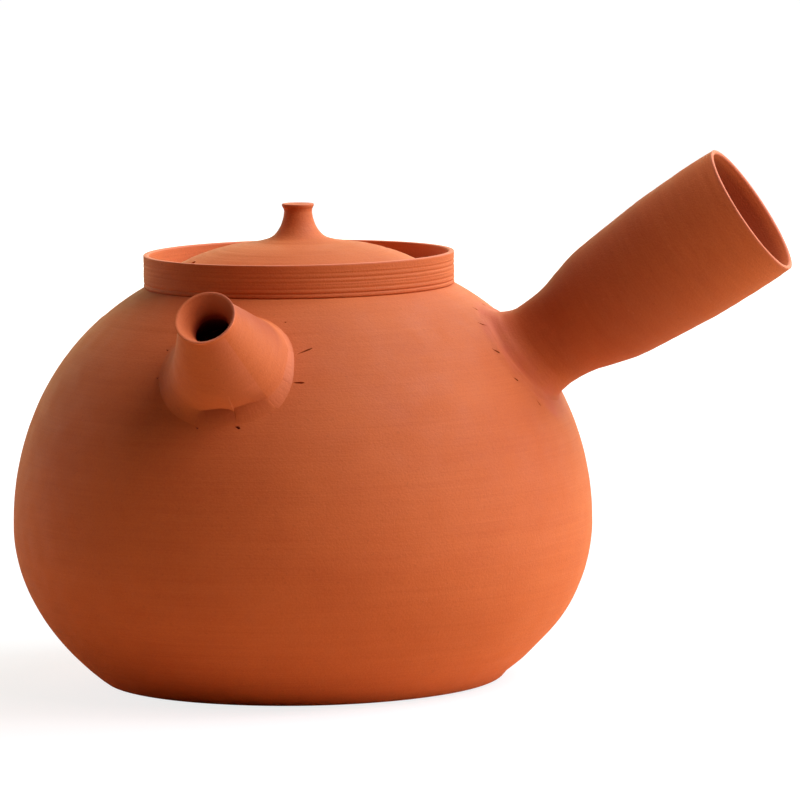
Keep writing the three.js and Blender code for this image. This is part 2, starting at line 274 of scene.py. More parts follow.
# Knife nicks in the pot round the spout: inner end, outer end and width.
SPOUT_NICKS = [
    ((15.6, -51.9, 86.7), (18.5, -49.6, 87.9), 0.8),
    ((15.9, -57.2, 80.4), (18.6, -56.6, 80.3), 0.9),
    ((11.9, -62.2, 74.5), (12.2, -63.1, 73.0), 0.8),
    ((3.5, -65.3, 70.7), (5.1, -65.6, 70.0), 1.2),
    ((-6.4, -65.1, 70.7), (-5.5, -65.6, 69.8), 1.0),
    ((-18.1, -56.5, 80.6), (-19.0, -55.9, 80.9), 0.5),
    ((-17.3, -51.1, 86.9), (-18.2, -50.3, 87.2), 0.5),
    ((10.3, -45.4, 93.5), (10.7, -44.9, 93.7), 0.5),
]
# Nicks round the grip's root: outer end, and the way from there to the inner end.
GRIP_NICKS = [
    ((46.6, 7.2, 93.0), (0.1, -1.3, 0.9)),
    ((47.5, -2.1, 92.7), (0.2, -1.5, 1.1)),
    ((50.8, -8.8, 89.3), (0.2, -1.6, 1.3)),
    ((55.3, -13.9, 83.5), (0.1, -1.5, 1.2)),
    ((60.3, -14.3, 76.8), (0.1, -1.3, 1.1)),
    ((64.8, -10.0, 70.4), (0.1, -0.9, 1.4)),
]
GRIP_NICK_WIDTH = 0.7
NICKS = SPOUT_NICKS + [(np.add(end, way), end, GRIP_NICK_WIDTH) for end, way in GRIP_NICKS]
# A nick's form: share of its length, share of its width there, and depth.
NICK_FORM = [(-0.1, 0.15, 0.05), (0.35, 0.8, 0.6), (0.8, 1, 1), (1.05, 0.5, 0.5)]
NICK_FLOOR_SHARE = 0.3
NICK_LEAST_DEPTH = 0.25
NICK_MARGIN = 1


def mix(start, end, share):
    return start + (end - start) * share


def smooth_step(low, high, value):
    share = np.clip((value - low) / (high - low), 0, 1)
    return share * share * (3 - 2 * share)


def between(start, end, value):
    """1 from a soft start to a soft end, and 0 outside."""
    return smooth_step(*start, value) * (1 - smooth_step(*end, value))


def hump(value, middle, spread):
    return np.exp(-(((value - middle) / spread) ** 2))


def table_at(table, place):
    """Smooth value at a place, from rows of (place, value), with no overshoot."""
    x, y = np.array(table, float).T
    slope = np.diff(y) / np.diff(x)
    product, both = slope[1:] * slope[:-1], slope[1:] + slope[:-1]
    inner = np.where(product > 0, 2 * product / (both + TINY), 0)
    lean = np.concatenate([[slope[0]], inner, [slope[-1]]])
    place = np.clip(place, x[0], x[-1])
    i = np.clip(np.searchsorted(x, place) - 1, 0, len(x) - 2)
    width = x[i + 1] - x[i]
    t = (place - x[i]) / width
    near = (1 + 2 * t) * (1 - t) ** 2 * y[i] + t * (1 - t) ** 2 * width * lean[i]
    far = t * t * (3 - 2 * t) * y[i + 1] + t * t * (t - 1) * width * lean[i + 1]
    return near + far


def turned_noise(seed, turns, along, cells, pitch, start=None):
    """Smooth noise from -1 to 1 on a turned surface, with cells round it and one every pitch along it."""
    grid_random = np.random.default_rng(seed)
    around = (turns % 1) * cells
    up = (along - (np.min(along) if start is None else start)) / pitch
    grid = grid_random.uniform(-1, 1, (int(np.max(up)) + 3, cells))
    i, j = np.floor(up).astype(int), np.floor(around).astype(int) % cells
    s = smooth_step(0, 1, up - np.floor(up))
    t = smooth_step(0, 1, around - np.floor(around))
    near = mix(grid[i, j], grid[i, (j + 1) % cells], t)
    far = mix(grid[i + 1, j], grid[i + 1, (j + 1) % cells], t)
    return mix(near, far, s)


def hand_marks(marks, turns, along, start=None):
    """The height of all marks of a table together."""
    height = 0
    for seed, cells, pitch, high in marks:
        height = height + high * turned_noise(seed, turns, along, cells, pitch, start)
    return height


def oval(turns, size, start):
    return size * np.cos(4 * math.pi * turns + start)


def walked(line):
    """How far each point of a line lies from its start, along the line."""
    return np.concatenate([[0], np.cumsum(np.linalg.norm(np.diff(line, axis=0), axis=1))])


def even_steps(points, step):
    """The same line in even steps."""
    points = np.array(points, float)
    reached = walked(points)
    at = np.linspace(0, reached[-1], max(2, int(round(reached[-1] / step)) + 1))
    return np.column_stack([np.interp(at, reached, points[:, k]) for k in range(points.shape[1])])


def rounded(points, radii, steps=5):
    """A line with its corners rounded. radii has one radius for each corner between the ends."""
    points = [np.array(p, float) for p in points]
    line = [points[0]]
    for before, corner, after, radius in zip(points, points[1:], points[2:], radii):
        start = corner + (before - corner) * min(0.5, radius / np.linalg.norm(before - corner))
        end = corner + (after - corner) * min(0.5, radius / np.linalg.norm(after - corner))
        for t in np.linspace(0, 1, steps + 1):
            line.append((1 - t) ** 2 * start + 2 * t * (1 - t) * corner + t * t * end)
    line.append(points[-1])
    return np.array(line)


def joined(*lines):
    """Lines one after the other, without the points that they share."""
    whole = [np.array(lines[0], float)]
    for line in lines[1:]:
        near = np.linalg.norm(line[0] - whole[-1][-1]) < SAME_PLACE
        whole.append(line[1:] if near else line)
    return np.concatenate(whole)


def radius_of(points):
    return np.hypot(points[:, 0], points[:, 1])


# The pot's surface

def reach_of(rise, radius, fullness):
    return rise / (1 - (radius / POT_RADIUS) ** fullness) ** (1 / fullness)


SHOULDER_REACH = reach_of(SEAT - WIDEST_HEIGHT, COLLAR_RADIUS, SHOULDER_FULLNESS)
HEEL_REACH = reach_of(WIDEST_HEIGHT, FOOT_RADIUS, HEEL_FULLNESS)


def pot_radius_at(height):
    height = np.asarray(height, float)
    upper = height > WIDEST_HEIGHT
    fullness = np.where(upper, SHOULDER_FULLNESS, HEEL_FULLNESS)
    reach = np.where(upper, SHOULDER_REACH, HEEL_REACH)
    share = np.clip(np.abs(height - WIDEST_HEIGHT) / reach, 0, 1)
    return POT_RADIUS * (1 - share**fullness) ** (1 / fullness)


def half_curve(inset, upper, steps=160):
    """The pot's curve from its widest ring to its end, as (radius, height), moved inwards by an inset."""
    fullness, reach = (SHOULDER_FULLNESS, SHOULDER_REACH) if upper else (HEEL_FULLNESS, HEEL_REACH)
    end = COLLAR_RADIUS if upper else FOOT_RADIUS
    angle = np.linspace(0, math.acos((end / POT_RADIUS) ** (fullness / 2)), steps)
    across, along = np.cos(angle) ** (2 / fullness), np.sin(angle) ** (2 / fullness)
    normal = np.column_stack([across ** (fullness - 1) / POT_RADIUS, along ** (fullness - 1) / reach])
    normal *= inset / np.linalg.norm(normal, axis=1)[:, None]
    side = 1 if upper else -1
    radius = POT_RADIUS * across - normal[:, 0]
    return np.column_stack([radius, WIDEST_HEIGHT + side * (reach * along - normal[:, 1])])


def shoulder_place(distance, steps=4000):
    """Radius and height of the place on the shoulder at a distance from the collar."""
    height = np.linspace(SEAT, WIDEST_HEIGHT, steps + 1)
    radius = pot_radius_at(height)
    reached = walked(np.column_stack([radius, height]))
    return np.interp(distance, reached, radius), np.interp(distance, reached, height)


class Tube:
    """Where the spout or the grip stands on the shoulder, and its directions."""

    def __init__(self, turn, rise, end_rise, length, gap, skirt):
        radius, height = shoulder_place(gap + skirt)
        self.outward = np.array([math.cos(turn * DEGREE), math.sin(turn * DEGREE), 0])
        self.up = np.array([0, 0, 1.0])
        self.root = self.outward * radius + self.up * height
        self.side = np.cross(self.up, self.outward)
        self.rise, self.end_rise, self.length = rise, end_rise, length
        self.way = self.outward * math.cos(rise * DEGREE) + self.up * math.sin(rise * DEGREE)

    def over(self, height=0):
        """The upper side's direction at a height above the root."""
        rise = mix(self.rise, self.end_rise, max(0, height / self.length)) * DEGREE
        return self.up * math.cos(rise) - self.outward * math.sin(rise)

    def circle(self, radius, angle, height=0):
        """Points round the root, in the plane that a ring at a height has."""
        across = np.outer(radius * np.cos(angle), self.side)
        return self.root + (across + np.outer(radius * np.sin(angle), self.over(height)))

    def surface(self, radius, angle, halvings=30):
        """How far along the way the pot's surface lies, at a radius and an angle round the axis."""
        flat = self.circle(radius, angle)
        inside = np.full(len(flat), -POT_RADIUS / 2)
        outside = -inside
        for _ in range(halvings):
            middle = (inside + outside) / 2
            points = flat + np.outer(middle, self.way)
            within = radius_of(points) < pot_radius_at(points[:, 2])
            inside, outside = np.where(within, middle, inside), np.where(within, outside, middle)
        return outside

    def ring(self, radius, height, hug, angle):
        """A ring at a height. With a hug of 1 it follows the pot, and with 0 it is flat."""
        radius, height = np.broadcast_to(radius, angle.shape), np.broadcast_to(height, angle.shape)
        depth = hug * self.surface(radius, angle) if np.max(hug) > 0 else 0
        return self.circle(radius, angle, float(np.mean(height))) + np.outer(height + depth, self.way)


SPOUT = Tube(SPOUT_TURN, SPOUT_RISE, SPOUT_END_RISE, SPOUT_LENGTH, SPOUT_GAP, SKIRT_RADIUS)
GRIP = Tube(GRIP_TURN, GRIP_RISE, GRIP_END_RISE, GRIP_LENGTH, GRIP_GAP, GRIP_SKIRT)


# Meshes

def make_mesh(name, points, faces, facts=None):
    """An object from points in millimetres. facts are values for each point, which the clay reads."""
    mesh = bpy.data.meshes.new(name)
    mesh.from_pydata((np.asarray(points) * MM).tolist(), [], faces)
    mesh.update()
    for key, values in (facts or {}).items():
        add_fact(mesh, key, values)
    mesh.polygons.foreach_set("use_smooth", np.ones(len(mesh.polygons), bool))
    return placed(name, mesh)


def placed(name, data):
    """A new object in the scene."""
    made = bpy.data.objects.new(name, data)
    bpy.context.scene.collection.objects.link(made)
    return made


def add_fact(mesh, key, values):
    values = np.asarray(values, np.float32)
    kind, field = ("FLOAT_VECTOR", "vector") if values.ndim == 2 else ("FLOAT", "value")
    old = mesh.attributes.get(key)
    if old:
        mesh.attributes.remove(old)
    mesh.attributes.new(key, kind, "POINT").data.foreach_set(field, values.ravel())


def wheel_fact(angle, along):
    """Where points lie on the wheel: their direction round the axis, and their place along the section."""
    angle, along = np.broadcast_arrays(angle, along)
    return np.stack([np.cos(angle), np.sin(angle), along], axis=-1)


def skin(name, rows, facts, closed=False):
    """A closed skin over rings of points. An open stack of rings ends in one point at each end."""
    rows = np.asarray(rows, float)
    count, sides = rows.shape[:2]
    j = np.arange(sides)
    k = (j + 1) % sides
    faces = []
    last = count if closed else count - 1
    for i in range(last):
        here, after = i * sides, ((i + 1) % count) * sides
        faces += np.column_stack([here + j, here + k, after + k, after + j]).tolist()
    points = rows.reshape(-1, 3)
    facts = {key: np.asarray(v).reshape(count * sides, -1).squeeze() for key, v in facts.items()}
    if not closed:
        first, final = count * sides, count * sides + 1
        faces += np.column_stack([k, j, np.full(sides, first)]).tolist()
        edge = (count - 1) * sides
        faces += np.column_stack([edge + j, edge + k, np.full(sides, final)]).tolist()
        points = np.concatenate([points, [rows[0].mean(axis=0)], [rows[-1].mean(axis=0)]])
        facts = {key: np.concatenate([v, v[:1], v[-1:]]) for key, v in facts.items()}
    return make_mesh(name, points, faces, facts)


def turned(name, profile, sides, relief=None, base=0.0, edge=None):
    """A body of revolution about +Z from a profile of (radius, height), counter-clockwise from the axis.

    relief gives how far each point stands out, and edge how much paler the clay is from use at a height."""
    profile = np.asarray(profile, float)
    closed = np.linalg.norm(profile[0] - profile[-1]) < SAME_PLACE
    if closed:
        profile = profile[:-1]
    slope = np.gradient(np.vstack([profile[-1:], profile, profile[:1]]) if closed else profile, axis=0)
    slope = slope[1:-1] if closed else slope
    normal = np.column_stack([slope[:, 1], -slope[:, 0]])
    normal /= np.linalg.norm(normal, axis=1)[:, None] + TINY
    turns, along = np.meshgrid(np.arange(sides) / sides, walked(profile))
    radius, height = profile[:, 0:1] + 0 * turns, profile[:, 1:2] + 0 * turns
    out = relief(turns, along, radius, height) if relief else 0 * turns
    radius = radius + normal[:, 0:1] * out
    height = height + normal[:, 1:2] * out
    angle = 2 * math.pi * turns
    rows = np.stack([radius * np.cos(angle), radius * np.sin(angle), height + base], axis=-1)
    wear_and_painted_light = edge(height) if edge else 0 * turns
    return skin(name, rows, {"wheel": wheel_fact(angle, along), "wear_and_painted_light": wear_and_painted_light}, closed)


def drill(name, radius, low, high, sides):
    """An upright cylinder to cut with."""
    return turned(name, [(0.1 * radius, low), (radius, low), (radius, high), (0.1 * radius, high)], sides)


def cut(piece, *cutters):
    """Takes the cutters out of a piece, and removes them."""
    for cutter in cutters:
        step = piece.modifiers.new("cut", "BOOLEAN")
        step.operation = "DIFFERENCE"
        step.solver = "MANIFOLD"
        step.object = cutter
    bpy.context.view_layer.update()
    done = piece.evaluated_get(bpy.context.evaluated_depsgraph_get())
    mesh = bpy.data.meshes.new_from_object(done)
    piece.modifiers.clear()
    old, piece.data = piece.data, mesh
    mesh.name = piece.name
    bpy.data.meshes.remove(old)
    for cutter in cutters:
        bpy.data.objects.remove(cutter)


def points_of(mesh):
    values = np.zeros(len(mesh.vertices) * 3)
    mesh.vertices.foreach_get("co", values)
    return values.reshape(-1, 3) / MM


# Pot

def pot_normal(point, step=0.05):
    """The pot's outward direction near a point."""
    x, y, z = point
    fall = float(pot_radius_at(z + step) - pot_radius_at(z - step)) / (2 * step)
    normal = np.array([x, y, 0]) / math.hypot(x, y) - np.array([0, 0, fall])
    return normal / np.linalg.norm(normal)


def onto_pot(point):
    x, y, z = point
    scale = float(pot_radius_at(z)) / math.hypot(x, y)
    return np.array([x * scale, y * scale, z])


def nick_cutter(name, start, end, width):
    """A thin wedge that lies in the surface between two points, deeper near its end."""
    start, end = onto_pot(start), onto_pot(end)
    points = []
    for share, wide, deep in NICK_FORM:
        place = onto_pot(mix(start, end, share))
        out = pot_normal(place)
        across = np.cross(out, end - start)
        across *= width * wide / 2 / np.linalg.norm(across)
        top, low, narrow = place + out, place - out * deep, across * NICK_FLOOR_SHARE
        points += [top + across, top - across, low - narrow, low + narrow]
    faces = [(3, 2, 1, 0)]
    for i in range(0, len(points) - 4, 4):
        faces += [(i + j, i + (j + 1) % 4, i + 4 + (j + 1) % 4, i + 4 + j) for j in range(4)]
    faces.append(tuple(range(len(points) - 4, len(points))))
    return make_mesh(name, points, faces)


def in_nicks(points):
    """Which points of the pot lie inside a nick."""
    sunk = pot_radius_at(points[:, 2]) - radius_of(points) > NICK_LEAST_DEPTH
    found = np.zeros(len(points), bool)
    for start, end, width in NICKS:
        start, end = onto_pot(start), onto_pot(end)
        away = points - start
        share = np.clip(away @ (end - start) / ((end - start) @ (end - start)), 0, 1)
        distance = np.linalg.norm(away - np.outer(share, end - start), axis=1)
        found |= distance < width / 2 + NICK_MARGIN
    return found & sunk


def pot_relief(turns, along, radius, height):
    """What the wheel and the hand left on the pot: rings, broad waves, and a press under the grip."""
    outside = (radius > FOOT_RADIUS - 1) & (height < SEAT - 0.2)
    marks = hand_marks(POT_MARKS, turns, along) + oval(turns, *POT_OVAL) * smooth_step(0, 12, height)
    pressed = hump((360 * turns - PRESS_TURN + 180) % 360, 180, PRESS_SPREAD)
    press = PRESS_DEPTH * pressed * between(PRESS_START, PRESS_END, height)
    press += FOOT_PRESS_DEPTH * pressed * (1 - smooth_step(*FOOT_PRESS_END, height))
    return (marks * smooth_step(0, 3, SEAT - height) - press) * outside


def around_grip(points):
    """Angle and distance of points round the grip's axis, and whether they lie on its side of the pot."""
    away = points - GRIP.root
    across, over = away @ GRIP.side, away @ GRIP.over()
    near = (away @ GRIP.way > -ROOT_REACH) & (points[:, 0] > 0)
    return np.arctan2(over, across), np.hypot(across, over), near


def press_dabs(mesh):
    """Presses the dabs round the grip's root into the pot's surface."""
    points = points_of(mesh)
    angle, radius, near = around_grip(points)
    outside = near & (radius_of(points) > pot_radius_at(points[:, 2]) - SKIN) & (radius > GRIP_NECK)
    depth = np.where(outside, dab_relief(angle, radius), 0)
    points = points + np.outer(depth, GRIP.way)
    mesh.vertices.foreach_set("co", (points * MM).ravel())


def pot_profile():
    """The pot's section: base, outside, ledge at the mouth, inside and floor."""
    shoulder = half_curve(0, True)
    heel = half_curve(0, False)[::-1]
    heel = heel[heel[:, 1] > HEEL_ROUND]
    inner_top = half_curve(WALL, True)
    inner_top = inner_top[inner_top[:, 0] > MOUTH_RADIUS + SKIN][::-1]
    inner_low = half_curve(WALL, False)
    inner_low = inner_low[inner_low[:, 1] > FLOOR * 2]
    ring_inside = FOOT_RADIUS - BASE_RING
    foot_edge = float(pot_radius_at(0))
    base = rounded(
        [(POLE, BASE_RECESS), (ring_inside - BASE_SLOPE, BASE_RECESS), (ring_inside, 0), (foot_edge, 0),
         heel[0]],
        (BASE_ROUND, BASE_ROUND, HEEL_ROUND),
    )
    ledge = rounded(
        [shoulder[-1], (COLLAR_RADIUS - 1, SEAT), (MOUTH_RADIUS, SEAT), (MOUTH_RADIUS, SEAT - WALL),
         inner_top[0]],
        (0.1, MOUTH_ROUND, MOUTH_ROUND),
    )
    bowl_corner = (FOOT_RADIUS - FLOOR - BOWL_INSET, FLOOR)
    bowl = rounded([inner_low[-1], bowl_corner, (POLE, FLOOR)], (BOWL_ROUND,), 8)
    return joined(
        even_steps(base, 1.6),
        even_steps(np.vstack([heel, shoulder]), 0.78),
        even_steps(ledge, 1.0),
        even_steps(np.vstack([inner_top, inner_low]), 3.2),
        even_steps(bowl, 3.2),
    )


def tell_pot_facts(mesh):
    """Where the pot's points lie on the wheel, which are under the grip's slip, and which lie in a nick and
    get painted shade.
    """
    points = points_of(mesh)
    radius, height = radius_of(points), points[:, 2]
    curve = np.vstack([half_curve(0, False)[::-1], half_curve(0, True)])
    over_foot = FOOT_RADIUS + np.interp(height, curve[:, 1], walked(curve))
    along = np.where(height < SKIN, radius, over_foot)
    add_fact(mesh, "wheel", wheel_fact(np.arctan2(points[:, 1], points[:, 0]), along))
    angle, distance, near = around_grip(points)
    edge = distance + SLIP_WAVER * np.sin(SLIP_LOBES * angle)
    nicked = in_nicks(points)
    add_fact(mesh, "slip", np.where(near & ~nicked, 1 - smooth_step(*SLIP_EDGE, edge), 0))
    # Painted shade inside the nicks.
    add_fact(mesh, "shade", nicked.astype(float))


def make_pot():
    pot = turned("pot", pot_profile(), POT_SIDES, pot_relief)
    press_dabs(pot.data)
    port = drill("port", PORT_RADIUS, -PORT_REACH, PORT_REACH, 48)
    lean = Vector((0, 0, 1)).rotation_difference(Vector(SPOUT.way)).to_matrix().to_4x4()
    port.data.transform(Matrix.Translation(Vector(SPOUT.root * MM)) @ lean)
    cut(pot, port, *[nick_cutter(f"nick_{i}", *nick) for i, nick in enumerate(NICKS)])
    pot.data.set_sharp_from_angle(angle=40 * DEGREE)
    tell_pot_facts(pot.data)
    return pot


# Collar

def collar_relief(turns, along, radius, height):
    outside = radius > COLLAR_RADIUS - 0.2
    marks = hand_marks(COLLAR_MARKS, turns, along)
    grip_side = smooth_step(-0.3, 0.6, np.cos(2 * math.pi * turns - 5 * DEGREE))
    kept = mix(WORN_GROOVES_SHARE, 1, grip_side)
    grooves = 0
    for place, width, depth in COLLAR_GROOVES:
        grooves += depth * (1 if place < WORN_GROOVES_HEIGHT else kept) * hump(height, place, width)
    lower = smooth_step(0, 2, COLLAR_HIGH[2] - COLLAR_LOW[2] - height)
    return np.where(outside, marks - grooves, marks * 0.5) * lower + oval(turns, *COLLAR_OVAL)


def make_collar():
    inside = COLLAR_RADIUS - COLLAR_WALL
    line = rounded(
        [(inside, -SUNK), (COLLAR_RADIUS, -SUNK), (COLLAR_RADIUS, COLLAR_HEIGHT), (inside, COLLAR_HEIGHT),
         (inside, -SUNK)],
        (0.1, COLLAR_OUTER_ROUND, COLLAR_INNER_ROUND),
        6,
    )
    edge = lambda height: smooth_step(*COLLAR_WORN, height)
    return turned("collar_ring", even_steps(line, 0.12), COLLAR_SIDES, collar_relief, SEAT, edge)


# Lid

def dome_at(radius):
    return DISC_EDGE + DISC_RISE * (1 - (radius / DISC_RADIUS) ** DOME_FULLNESS)


def lid_relief(turns, along, radius, height):
    """Rings on the lid's top, half as high on the knob."""
    top = np.where(radius < KNOB_REACH, 0.5, 1.0) * (height > DISC_EDGE + SKIN)
    return hand_marks(LID_MARKS, turns, along) * top


def lid_profile():
    """The lid's section: underside, rim, dome, and the knob with its hollowed top."""
    inside = FLANGE_RADIUS - FLANGE_WALL
    radii, heights = np.array(KNOB_OUTLINE).T
    up = np.linspace(heights[0], heights[-1], 120)
    knob_radii = table_at(np.column_stack([heights, radii]), up)
    blend = smooth_step(0, KNOB_BLEND, radii[0] - knob_radii)
    knob = np.column_stack([knob_radii, mix(dome_at(knob_radii), DISC_EDGE + DISC_RISE + up, blend)])
    dome_radii = np.linspace(DISC_RADIUS, radii[0], 120)
    dome = np.column_stack([dome_radii, dome_at(dome_radii)])
    under_radii = np.linspace(POLE, inside, 40)
    under = np.column_stack([under_radii, dome_at(under_radii) - DISC_WALL])
    rim = rounded([under[-1], (inside, 0), (DISC_RADIUS, 0), dome[0]], DISC_ROUNDS)
    # The rim ends one step up the dome, so the strip between the two is doubled.
    rim = joined(rim, rounded([rim[-1], dome[0], dome[1]], DISC_ROUNDS[1:]))
    top = knob[-1, 0]
    cap = rounded(
        [knob[-1], (top + 0.02, LID_HEIGHT), (top - 0.9, LID_HEIGHT - 0.02),
         (POLE + 1, LID_HEIGHT - KNOB_HOLLOW), (POLE, LID_HEIGHT - KNOB_HOLLOW - 0.02)],
        (0.3, 0.5, 0.5),
    )
    return joined(
        even_steps(under, 1.6), even_steps(rim, 0.3), even_steps(dome, 0.4), even_steps(knob, 0.16),
        even_steps(cap, 0.15),
    )


def make_lid():
    edge = lambda height: smooth_step(*KNOB_WORN, height) * KNOB_WORN_SHARE
    lid = turned("lid", lid_profile(), LID_SIDES, lid_relief, DISC_LOW[2], edge)
    vent = drill("vent", VENT_RADIUS, 0, VENT_REACH, 40)
    turn = VENT_TURN * DEGREE
    place = Vector((VENT_PLACE * math.cos(turn), VENT_PLACE * math.sin(turn), DISC_LOW[2])) * MM
    vent.data.transform(Matrix.Translation(place))
    cut(lid, vent)
    lid.data.set_sharp_from_angle(angle=50 * DEGREE)
    return lid


def make_flange():
    depth = FLANGE_HIGH[2] - FLANGE_LOW[2] + SUNK
    inside = FLANGE_RADIUS - FLANGE_WALL
    corners = [(inside, 0), (inside, -depth), (FLANGE_RADIUS, -depth), (FLANGE_RADIUS, 0), (inside, 0)]
    line = rounded(corners, (FLANGE_ROUND, FLANGE_ROUND, 0.1))
    relief = lambda turns, along, radius, height: hand_marks(FLANGE_MARKS, turns, along)
    return turned("lid_flange_ring", even_steps(line, 0.4), FLANGE_SIDES, relief, FLANGE_HIGH[2] + SUNK)


# Spout

def facet_rows():
    """For each angle round the spout: the angle, the crease's height, and how soft and pale the face is."""
    share = np.linspace(0, 1, STEPS_PER_FACET)
    rows = []
    for start, end, first, middle, last, highest, soft, pale in FACETS:
        angle = np.linspace(start + 0.1, end - 0.1, STEPS_PER_FACET) * DEGREE
        leaned = share ** (math.log(0.5) / math.log(highest))
        hollow = np.sqrt(4 * leaned * (1 - leaned))
        height = mix(np.where(share < highest, first, last), middle, hollow)
        rows.append(np.column_stack(np.broadcast_arrays(angle, height, soft, pale)))
    return np.concatenate(rows).T


def cone_radius(height, smeared):
    """The cone's radius. smeared is 1 where its foot was smeared over, and 0 where it was cut."""
    fall = np.clip(1 - height / NECK_HEIGHT, 0, 1)
    flare = mix(CONE_FLARE, SMEARED_FLARE, smeared)
    flare = flare * np.exp(-height / mix(CONE_FLARE_HEIGHT, SMEARED_FLARE_HEIGHT, smeared))
    return mix(SPOUT_NECK, CONE_FOOT, fall**CONE_FULLNESS) + flare


class SpoutRings:
    """The rings of the spout's skin, each as radius, height, place along the section, paleness (paler cut
    clay and painted light) and painted shade.
    """

    def __init__(self):
        self.angle, self.crease_height, self.soft, self.pale = facet_rows()
        self.turns = self.angle / (2 * math.pi)
        self.degrees = self.angle / DEGREE
        self.smeared = between(SMEARED_START, SMEARED_END, self.degrees)
        self.cut_in = table_at(CUTS, self.degrees)

    def skirt(self):
        """The shaved faces, from inside the pot's surface up to their creases."""
        foot = table_at(FACET_FOOT, self.degrees)
        crease = cone_radius(self.crease_height, self.smeared) - self.cut_in
        # Painted shade on the underside's cut faces, strongest at the creases and fading out towards the
        # pot.
        under = sum(share * between(start, end, self.degrees) for start, end, share in CUT_SHADES)
        chatter = hand_marks(CHATTER_MARKS, self.turns, 0 * self.turns)
        yield foot + 0.5, -SUNK, -3.5, 0, 0
        for t in np.linspace(0, 1, 22)[:-1]:
            scraped = chatter * math.sin(math.pi * t)
            radius = mix(foot, crease, t) + scraped
            height = self.crease_height * t**self.soft - FOOT_SUNK * (1 - t) ** 4
            yield radius, height + scraped * 0.6, -3 + 3 * t, PALE_SHARE * self.pale, under * math.sqrt(t)

    def cone(self):
        """From the creases up to the neck, with its rings closest at the creases."""
        # Painted light on the lower right of the cone, and painted shade on its upper right.
        light_on_cone = CONE_LIGHT_SHARE * hump(self.degrees, *CONE_LIGHT)
        shade_on_cone = CONE_SHADE_SHARE * hump(self.degrees, *CONE_SHADE)
        for rise in np.concatenate([[0, 0.002, 0.006], np.linspace(0.012, 1, 110)[:-1]]):
            height = mix(self.crease_height, NECK_HEIGHT, rise)
            rings = ring_relief(self.turns, height) * smooth_step(0, 0.05, rise)
            waist = np.clip(1 - (height - self.crease_height) / CUT_RISE, 0, 1) ** CUT_FULLNESS
            radius = cone_radius(height, self.smeared) - self.cut_in * waist + rings
            # The cut faces' paler clay and painted light carry onto the crease.
            pale_and_lit = 0.5 * self.pale * max(0, 1 - rise / 0.008)
            yield radius, height, height, pale_and_lit + light_on_cone, shade_on_cone * smooth_step(0.0, 0.2, rise)

    def mouth(self, step=0.16):
        """The lip and the throat, with a painted highlight on the right of the edge and painted light inside
        on the right, and the bore down into the pot in painted shade.
        """
        line = rounded(
            [(SPOUT_NECK, NECK_HEIGHT), (SPOUT_MOUTH - 0.1, SPOUT_LENGTH - 0.4), (SPOUT_MOUTH, SPOUT_LENGTH),
             (SPOUT_MOUTH - SPOUT_LIP, SPOUT_LENGTH - 0.05),
             (THROAT_RADIUS + THROAT_FLARE, SPOUT_LENGTH - THROAT_FLARE_DEPTH),
             (THROAT_RADIUS, SPOUT_LENGTH - THROAT_DEPTH), (BORE_RADIUS, SPOUT_LENGTH - BORE_DEPTH)],
            (0.7, 0.2, 0.3, 2.2, 1.6),
            8,
        )
        wobble = hand_marks(LIP_MARKS, self.turns, 0 * self.turns)
        right = 0.5 + 0.5 * np.cos(self.angle - 10 * DEGREE)
        reached = -SPOUT_LIP
        for radius, height in even_steps(line, step):
            edge = smooth_step(SPOUT_LENGTH - 0.6, SPOUT_LENGTH - 0.15, height)
            # Painted highlight on the lip's right edge, painted light inside on the right, and painted shade
            # deep in the throat.
            pale_and_lit = right * edge + PALE_SHARE * right * between((1, 2.5), (6, 8.5), reached)
            throat_shade = THROAT_SHADE_SHARE * smooth_step(6, 9, reached)
            yield radius + wobble * 0.5, height + wobble, NECK_HEIGHT + reached, pale_and_lit, throat_shade
            reached += step
        for fall in np.linspace(0.05, 1, 24):
            radius = mix(BORE_RADIUS, CONE_FOOT - SPOUT_WALL, fall**CONE_FULLNESS)
            height = mix(SPOUT_LENGTH - BORE_DEPTH, -SUNK, fall)
            yield radius, height, NECK_HEIGHT + reached + 20 * fall, 0, THROAT_SHADE_SHARE


def ring_relief(turns, height):
    """Faint rings round the spout's cone, and one line on its left."""
    line = LINE_DEPTH * hump(turns % 1, *LINE_TURNS) * hump(height, *LINE_HEIGHT)
    return hand_marks(SPOUT_MARKS, turns, height, 0) - line


def make_spout():
    form = SpoutRings()
    rings = [*form.skirt(), *form.cone(), *form.mouth()]
    rows = []
    for radius, height, *_ in rings:
        hug = 1 - smooth_step(HUG_HEIGHT, NECK_HEIGHT, height)
        rows.append(SPOUT.ring(radius, height, hug, form.angle))
    column = lambda k: np.array([np.broadcast_to(ring[k], form.angle.shape) for ring in rings])
    facts = {"wheel": wheel_fact(form.angle, column(2)), "wear_and_painted_light": column(3), "shade": column(4)}
    spout = skin("spout_cone", rows, facts, closed=True)
    spout.data.set_sharp_from_angle(angle=24 * DEGREE)
    return spout


# Grip

def dab_relief(angle, radius):
    """The dabs that pressed the grip's root onto the pot, which grip and pot share."""
    radius = np.clip(radius, GRIP_NECK, DAB_RADIUS)
    window = smooth_step(GRIP_NECK, GRIP_NECK + DAB_START, radius)
    window *= smooth_step(0, DAB_END, DAB_RADIUS - radius)
    window *= 1 - DAB_FAINT_SHARE * smooth_step(0.55, 0.95, -np.sin(angle))
    return hand_marks(DAB_MARKS, angle / (2 * math.pi), radius, GRIP_NECK) * window


def swell(height):
    """The grip's outer radius over its flared root."""
    return mix(GRIP_NECK, GRIP_WIDEST, table_at(SWELL_SHARES, height / GRIP_LENGTH))


